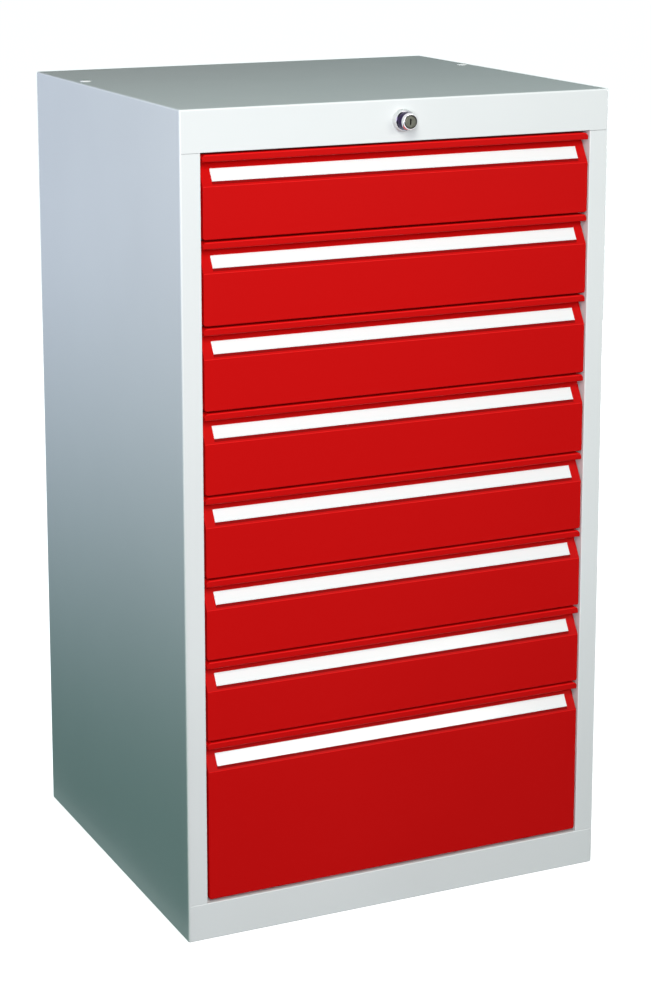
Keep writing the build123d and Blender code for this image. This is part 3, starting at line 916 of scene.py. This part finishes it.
@dataclass
class LabelStrips(SubAssembly):
    """The white strips on the sloping grips: a channel, a card in it and, at its foot, a dark red strip that
    paints the shadow under the channel.
    """

    slope_depth: float = 16.5 * MM
    slope_rise: float = 28 * MM
    width: float = 15.8 * MM
    thickness: float = 1.5 * MM
    lip: float = 1.1 * MM
    recess: float = 0.45 * MM
    edge_ease: float = 0.12 * MM
    card_inset: float = 1 * MM
    card_play: float = 0.1 * MM
    card_thickness: float = 0.3 * MM
    card_lip: float = 0.4 * MM
    card_recess: float = 0.02 * MM
    # the dark red strip below the channel, which paints its shadow
    shadow_strip_width: float = 3.2 * MM
    shadow_strip_thickness: float = 0.5 * MM
    shadow_strip_lip: float = 0.3 * MM
    shadow_strip_recess: float = 0.1 * MM
    weld_gap: float = 0.001 * MM

    def bench(self) -> NodeBench:
        """The tree that draws the channel's outline and draws it out to its length.

        Returns:
            The tree.
        """
        sizes = {"Length": 1.0, "Width": self.width, "Thickness": self.thickness}
        sizes |= {"Lip": self.lip, "Recess": self.recess}
        inputs = {title: ("NodeSocketFloat", size) for title, size in sizes.items()}
        inputs |= {title: ("NodeSocketVector", (0, 0, 0)) for title in ("Turn", "Place")}
        inputs["Finish"] = ("NodeSocketMaterial", self.paint.get("label_white"))
        bench = NodeBench("label_channel", inputs)
        given = bench.given
        top = given["Thickness"]
        half = bench.math("MULTIPLY", given["Width"], 0.5)
        inner = bench.math("SUBTRACT", half, given["Lip"])
        deep = bench.math("SUBTRACT", top, given["Recess"])
        minus_half = bench.math("MULTIPLY", half, -1.0)
        minus_inner = bench.math("MULTIPLY", inner, -1.0)
        outline = [(minus_half, 0.0), (half, 0.0), (half, top), (inner, top), (inner, deep)]
        outline += [(minus_inner, deep), (minus_inner, top), (minus_half, top)]
        pick = bench.add("GeometryNodeIndexSwitch", data_type="VECTOR")
        while len(pick.index_switch_items) < len(outline):
            pick.index_switch_items.new()
        bench.put(bench.add("GeometryNodeInputIndex"), pick.inputs[0])
        for place, (x, y) in enumerate(outline, start=1):
            bench.put(bench.vector(x, y, 0.0), pick.inputs[place])
        points = bench.add("GeometryNodePoints", {"Count": len(outline), "Position": pick})
        curve = bench.add("GeometryNodePointsToCurves", {0: points})
        closed = bench.add("GeometryNodeSetSplineCyclic", {0: curve, "Cyclic": True})
        fill = bench.add("GeometryNodeFillCurve", {0: closed}, mode="NGONS")
        draw = {0: fill, "Offset": bench.vector(0.0, 0.0, given["Length"])}
        draw |= {"Offset Scale": 1.0, "Individual": False}
        drawn = bench.add("GeometryNodeExtrudeMesh", draw, mode="FACES")
        flip = bench.add("GeometryNodeFlipFaces", {0: fill})
        both = bench.add("GeometryNodeJoinGeometry", {0: flip})
        bench.put(drawn, both.inputs[0])
        weld = bench.add("GeometryNodeMergeByDistance", {0: both, "Distance": self.weld_gap})
        turn = bench.add("FunctionNodeEulerToRotation", {0: given["Turn"]})
        place = {0: weld, "Rotation": turn, "Translation": given["Place"]}
        bench.close(bench.add("GeometryNodeTransform", place))
        return bench

    def build(self) -> None:
        """Make the channel, the card and the seat of every drawer."""
        bench = self.bench()
        run = math.hypot(self.slope_depth, self.slope_rise)
        slope = Vector((0, self.slope_depth / run, self.slope_rise / run))
        outward = Vector((0, -slope.z, slope.y))
        turn = tuple(Matrix((slope, outward, Vector((1, 0, 0)))).transposed().to_euler())
        lift = outward * (self.thickness - self.recess) + Vector((self.card_inset, 0, 0))
        for number in DRAWERS:
            drawer = f"drawer_{number}"
            low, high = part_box(f"{drawer}_label_strip")
            length = high.x - low.x
            foot = Vector((low.x, high.y - slope.y * self.width, low.z))
            centre = foot + slope * (self.width / 2)
            channel = {"Length": length, "Turn": turn, "Place": tuple(centre)}
            piece = bench.run(f"{drawer}_strip_channel", channel)
            add_easing(piece, self.edge_ease, "ANGLE")
            self.mount(piece, drawer, "label_white", f"{drawer}_label_strip")
            card = {
                "Length": length - 2 * self.card_inset,
                "Width": self.width - 2 * self.lip - self.card_play,
                "Thickness": self.card_thickness,
                "Lip": self.card_lip,
                "Recess": self.card_recess,
                "Turn": turn,
                "Place": tuple(centre + lift),
            }
            self.mount(bench.run(f"{drawer}_label_card", card), drawer, "label_white")
            # a dark red strip below the channel: painted shadow
            seat = {
                "Length": length,
                "Width": self.shadow_strip_width,
                "Thickness": self.shadow_strip_thickness,
                "Lip": self.shadow_strip_lip,
                "Recess": self.shadow_strip_recess,
                "Turn": turn,
                "Place": tuple(foot - slope * (self.shadow_strip_width / 2)),
                "Finish": self.paint.get("label_painted_shadow"),
            }
            self.mount(bench.run(f"{drawer}_label_painted_shadow", seat), drawer, "front_red")


@dataclass
class Drawer(SubAssembly):
    """One drawer: front, box and runner members."""

    number: int = 1
    front_ease: float = 0.3 * MM
    box_ease: float = 0.25 * MM
    member_ease: float = 0.2 * MM

    def build(self) -> None:
        """Dress the drawer's sheets and its runners."""
        name = f"drawer_{self.number}"
        # the front's bends get a lighter coat that paints their highlight
        self.eased(f"{name}_front", name, "front_red", self.front_ease, bends="painted_highlight_front_bends")
        self.eased(f"{name}_box", name, "drawer_grey", self.box_ease)
        self.eased(f"{name}_runners", name, "runner_steel", self.member_ease)
        self.eased(f"{name}_middle_runners", f"{name}_middle", "runner_steel", self.member_ease)


class RoundNode:
    """Where a packed round node stands, with its axis along Y."""

    def __init__(self, node: str) -> None:
        """Measure the node.

        Args:
            node: its name.
        """
        low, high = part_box(node)
        self.front, self.back = low.y, high.y
        self.axis = (low.z + high.z) / 2
        self.radius = (high.z - low.z) / 2


@dataclass
class PushLock(SubAssembly):
    """The lock in the top rail, its rod and the locking bar.

    The outlines are given in millimetres from the edges that their comments name.
    """

    bar_ease: float = 0.3 * MM
    core_ease: float = 0.15 * MM
    bore_gap: float = 0.08 * MM
    edge: float = 0.15 * MM
    ring_foot: Pair = (0.1, 1.2)  # in from the outside, forward from the back
    ring_rim: Outline = ((0.45, 0.9), (0.6, 0.35), (0.9, 0.0))  # in from there, back from the face
    mouth: float = 0.2 * MM
    thread_pitch: float = 1.0 * MM
    thread_depth: float = 0.45 * MM
    thread_end: float = 0.5 * MM
    straight_proud: float = 9 * MM
    taper: float = 2 * MM
    nose_round: float = 0.8 * MM
    dark_reflection_length: float = 8.5 * MM
    tail_edge: float = 0.3 * MM
    inlay_inset: float = 0.1 * MM
    inlay_depth: float = 1 * MM
    inlay_play: float = 0.03 * MM
    inlay_inner: Outline = ((0.0, 0.5), (0.4, 0.15))  # out from the core, back from the face
    inlay_outer: Outline = ((0.3, 0.1), (0.03, 0.35))  # in from the face's rim, back from the face
    barrel_steps: int = 96

    def build(self) -> None:
        """Turn the lock's round pieces and dress its bars."""
        self.ring()
        self.tube()
        self.barrel()
        self.eased("lock_core", "lock_core", "core_metal", self.core_ease)
        for node in ("lock_nut", "rod_brackets", "bar_guides"):
            self.eased(node, "cabinet", "zinc_steel", self.bar_ease)
        self.eased("push_rod", "lock_barrel", "zinc_steel", self.bar_ease, finish="rod_steel")
        for node in ("locking_bar", "bar_hooks"):
            self.eased(node, "locking_bar", "zinc_steel", self.bar_ease, finish="bar_steel")

    def ring(self) -> None:
        """The pale ring, with a rounded rim."""
        ring = RoundNode("lock_collar")
        outer, front, back = ring.radius, ring.front, ring.back
        bore = RoundNode("lock_housing").radius + self.bore_gap
        inward, forward = self.ring_foot
        outline = [(bore, back), (outer, back), (outer - inward * MM, back - forward * MM)]
        outline += [(outer - inward * MM, front + behind * MM) for inward, behind in self.ring_rim]
        outline += [(bore + self.edge, front), (bore, front + self.edge)]
        mesh = turned_mesh("lock_ring", outline, ring.axis)
        self.mount(new_piece(mesh), "cabinet", "collar_grey", "lock_collar")

    def tube(self) -> None:
        """The housing tube, threaded behind the rail."""
        tube = RoundNode("lock_housing")
        outer, front, back = tube.radius, tube.front, tube.back
        bore = RoundNode("lock_barrel").radius + self.bore_gap
        y = RoundNode("lock_nut").front
        outline = [(bore, back), (bore, front + self.mouth), (bore + self.mouth, front)]
        outline += [(outer - self.edge, front), (outer, front + self.edge), (outer, y)]
        while y + self.thread_pitch < back - self.thread_end:
            outline.append((outer - self.thread_depth, y + self.thread_pitch / 2))
            y += self.thread_pitch
            outline.append((outer, y))
        outline.append((outer - self.thread_depth, back))
        mesh = turned_mesh("lock_tube", outline, RoundNode("lock_collar").axis, steps=48)
        self.mount(new_piece(mesh), "cabinet", "lock_chrome", "lock_housing")

    def barrel(self) -> None:
        """The chromed barrel with its domed nose, its near-black neck, which paints a dark reflection, and
        the inlay round the core.
        """
        barrel, core, ring = RoundNode("lock_barrel"), RoundNode("lock_core"), RoundNode("lock_collar")
        outer, front, back = barrel.radius, barrel.front, barrel.back
        seat = core.radius + self.bore_gap
        neck = ring.back - self.straight_proud
        dome = ((neck - front) ** 2 + self.taper**2) / (2 * self.taper)
        round_y = front + self.nose_round
        reach = math.sqrt((dome - self.nose_round) ** 2 - (neck - round_y) ** 2)
        turn = math.degrees(math.atan2(round_y - neck, reach))
        round_place = (outer - dome + reach, round_y)
        face = round_place[0] - self.inlay_inset
        floor = front + self.inlay_depth
        outline = arc(round_place, self.nose_round, -90, turn, steps=6)
        outline += arc((outer - dome, neck), dome, turn, 0, steps=10)[1:]
        outline += [(outer, back - self.tail_edge), (outer - self.tail_edge, back), (0.0, back)]
        outline += [(0.0, core.back), (seat, core.back), (seat, floor), (face, floor), (face, front)]
        mesh = turned_mesh("lock_barrel_shell", outline, ring.axis, self.barrel_steps)
        # the neck's near-black chrome is a painted dark reflection
        for finish in ("lock_chrome", "lock_painted_dark_reflection"):
            mesh.materials.append(self.paint.get(finish))
        for polygon in mesh.polygons:
            polygon.material_index = int(polygon.center.y > neck - self.dark_reflection_length)
        self.mount(new_piece(mesh), "lock_barrel", "lock_chrome", "lock_barrel")
        inlay = [(seat, floor)]
        inlay += [(seat + out * MM, front + behind * MM) for out, behind in self.inlay_inner]
        inlay += [(face - inward * MM, front + behind * MM) for inward, behind in self.inlay_outer]
        inlay += [(face - self.inlay_play, floor)]
        mesh = turned_mesh("lock_face_inlay", inlay, ring.axis, self.barrel_steps)
        self.mount(new_piece(mesh), "lock_barrel", "lock_chrome", finish="lock_inlay")


@dataclass(frozen=True)
class DarkCard:
    """A card that the camera doesn't see and that throws no shadow of the lamps.

    It takes away soft light, or shows in reflections instead.
    """

    name: str
    low: Triple
    high: Triple
    softens: bool
    felt: Colour = (0.03, 0.03, 0.03)

    def hang(self) -> None:
        """Put the card in the scene."""
        card = panel(self.name, self.low, self.high)
        sheet = ShaderSheet("dark_card_felt")
        sheet.fix(Base_Color=(*self.felt, 1))
        card.data.materials.append(sheet.material)
        card.visible_camera = False
        card.visible_shadow = False
        card.visible_diffuse = self.softens
        card.visible_glossy = not self.softens


@dataclass(frozen=True)
class Softbox:
    """An area lamp aimed at a point, its power in watts and the spread of its grid in degrees."""

    name: str
    place: Triple
    aim: Triple
    size: Pair
    power: float
    colour: Colour = WHITE
    spread: float = 180

    def hang(self) -> None:
        """Put the lamp in the scene."""
        data = bpy.data.lights.new(self.name, "AREA")
        data.shape = "RECTANGLE"
        data.size, data.size_y = self.size
        data.energy = self.power
        data.color = self.colour
        data.spread = math.radians(self.spread)
        lamp = new_piece(data)
        lamp.location = self.place
        way = Vector(self.aim) - Vector(self.place)
        lamp.rotation_euler = way.to_track_quat("-Z", "Y").to_euler()


# Two cards calm the sheen of the top and of the left side's foot, and one shades the top's rear.
CARDS = (
    DarkCard("card_behind", (-1.5, 3.2, 0.9), (4.5, 3.2, 3.6), softens=False),
    DarkCard("card_beside", (-3.0, -0.3, 0.004), (-0.3, 5.0, 0.004), softens=False),
    DarkCard("card_above", (-0.9, 0.1, 1.5), (0.3, 1.2, 1.5), softens=True),
)
# A key, a strip and a fill in front, a lamp for the left side and one behind for the hidden sides.
FRONT_MIDDLE: Triple = (0.0, -0.25, 0.9)
WARM: Colour = (1.0, 1.0, 0.93)
COOL: Colour = (0.72, 0.79, 1.0)
VIOLET: Colour = (0.95, 0.92, 1.0)
LAMPS = (
    Softbox("high_key", (-1.11, -2.34, 2.45), FRONT_MIDDLE, (0.9, 0.9), 36.0, WARM),
    Softbox("left_strip", (-1.4, -2.87, 1.3), FRONT_MIDDLE, (0.5, 1.2), 18.0, VIOLET, spread=110),
    Softbox("front_fill", (1.2, -2.8, 1.7), FRONT_MIDDLE, (1.0, 1.0), 8.5, WARM, spread=110),
    Softbox("side_lamp", (-2.7, 1.0, 0.95), (-0.28, 0.2, 0.9), (0.8, 0.8), 33.5, COOL),
    Softbox("back_lamp", (2.6, 2.4, 0.55), (0, 0, 0.55), (1.2, 0.9), 55.0),
)


@dataclass
class Studio:
    """Floor, lamps, world and camera."""

    camera_place: Triple = (-1.2814, -2.7718, 1.2988)
    camera_yaw: float = 0.4381
    camera_pitch: float = 0.1961
    camera_reach: float = 200.0
    focal_pixels: float = 2430.5
    picture: tuple[int, int] = (651, 1000)
    centre: Pair = (325.0, 320.0)
    sensor: float = 36.0
    ambient: float = 0.16
    ambient_colour: Colour = (0.42, 0.97, 1.0)
    floor_low: Triple = (-60.0, -60.0, 0.0)
    floor_high: Triple = (60.0, 60.0, 0.0)
    floor_pale: Colour = (0.8, 0.8, 0.8)
    floor_dim: Colour = (0.15, 0.15, 0.15)
    floor_glow: float = 0.94
    scrim_low: Triple = (-0.286, -0.266, 0.0)
    scrim_high: Triple = (-0.286, 0.266, 1.2)
    scrim_foot: float = 0.06
    scrim_head: float = 0.9
    scrim_lean: float = 0.22
    scrim_dark: Colour = (0.22, 0.34, 0.28)

    def build(self) -> None:
        """Set up the whole studio."""
        bpy.context.scene.view_settings.view_transform = "Standard"
        self.camera()
        self.world()
        self.floor()
        self.scrim()
        for thing in CARDS + LAMPS:
            thing.hang()

    def camera(self) -> None:
        """The camera at the photograph's place."""
        data = bpy.data.cameras.new("photo_camera")
        data.sensor_width = self.sensor
        long_side = max(self.picture)
        data.lens = self.focal_pixels * self.sensor / long_side
        data.shift_x = (self.picture[0] / 2 - self.centre[0]) / long_side
        data.shift_y = -(self.picture[1] / 2 - self.centre[1]) / long_side
        data.clip_end = self.camera_reach
        camera = new_piece(data)
        camera.location = self.camera_place
        camera.rotation_euler = Euler((math.pi / 2 - self.camera_pitch, 0, -self.camera_yaw))
        bpy.context.scene.camera = camera

    def world(self) -> None:
        """A white surround that lights the object only softly."""
        world = bpy.data.worlds.new("studio_surround")
        bpy.context.scene.world = world
        world.use_nodes = True
        sheet = NodeSheet(world.node_tree)
        ambient = {"Color": (*self.ambient_colour, 1), "Strength": self.ambient}
        soft = sheet.add("ShaderNodeBackground", ambient)
        white = sheet.add("ShaderNodeBackground", {"Color": (*WHITE, 1), "Strength": 1.0})
        sheet.add("ShaderNodeOutputWorld", {"Surface": sheet.by_sight(soft, white)})

    def stage_panel(self, name: str, finish: str, low: Triple, high: Triple) -> tuple[Piece, NodeSheet]:
        """Put a panel on the stage, with a material that is still empty.

        Args:
            name: the panel's name.
            finish: the material's name.
            low: one corner.
            high: the corner across from it.

        Returns:
            The panel and its material's sheet.
        """
        piece = panel(name, low, high)
        material = bpy.data.materials.new(finish)
        material.use_nodes = True
        piece.data.materials.append(material)
        return piece, NodeSheet(material.node_tree)

    def floor(self) -> None:
        """A plain pale floor that keeps the object's shadow."""
        corners = self.floor_low, self.floor_high
        _, sheet = self.stage_panel("studio_floor", "studio_floor_pale", *corners)
        lit = sheet.add("ShaderNodeBsdfDiffuse", {"Color": (*self.floor_pale, 1)})
        glow = {"Color": (*WHITE, 1), "Strength": self.floor_glow}
        pale = sheet.add("ShaderNodeAddShader", {0: lit, 1: sheet.add("ShaderNodeEmission", glow)})
        dim = sheet.add("ShaderNodeBsdfDiffuse", {"Color": (*self.floor_dim, 1)})
        sheet.add("ShaderNodeOutputMaterial", {"Surface": sheet.by_sight(dim, pale)})

    def scrim(self) -> None:
        """A graded scrim beside the left side, which lets less light through towards the floor.

        Its grading starts lower towards the back. The camera and reflections don't see it.
        """
        corners = self.scrim_low, self.scrim_high
        scrim, sheet = self.stage_panel("graded_scrim", "graded_scrim_net", *corners)
        scrim.visible_camera = False
        scrim.visible_glossy = False
        where = sheet.add("ShaderNodeTexCoord").outputs["Object"]
        rising = {0: where, 1: (0, self.scrim_lean, 1)}
        height = sheet.add("ShaderNodeVectorMath", rising, operation="DOT_PRODUCT").outputs["Value"]
        ends = {"Value": height, "From Min": self.scrim_foot, "From Max": self.scrim_head}
        grade = sheet.add("ShaderNodeMapRange", ends, interpolation_type="SMOOTHSTEP")
        tint = sheet.grade(grade.outputs["Result"], self.scrim_dark, WHITE)
        net = sheet.add("ShaderNodeBsdfTransparent", {"Color": tint})
        sheet.add("ShaderNodeOutputMaterial", {"Surface": net})


def main() -> None:
    """Build every sub-assembly in order and report its pieces."""
    logging.basicConfig(level=logging.INFO, format="%(name)s: %(message)s")
    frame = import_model()
    paint = PaintShop(RoundNode("lock_collar").axis)
    assemblies: list[SubAssembly] = [Housing(frame, paint), RunnerSet(frame, paint)]
    assemblies += [Drawer(frame, paint, number=number) for number in DRAWERS]
    assemblies += [LabelStrips(frame, paint), PushLock(frame, paint)]
    for assembly in assemblies:
        assembly.build()
        for piece in assembly.pieces:
            LOG.info("%s: %s", type(assembly).__name__, piece)
    Studio().build()


if __name__ == "__main__":
    main()
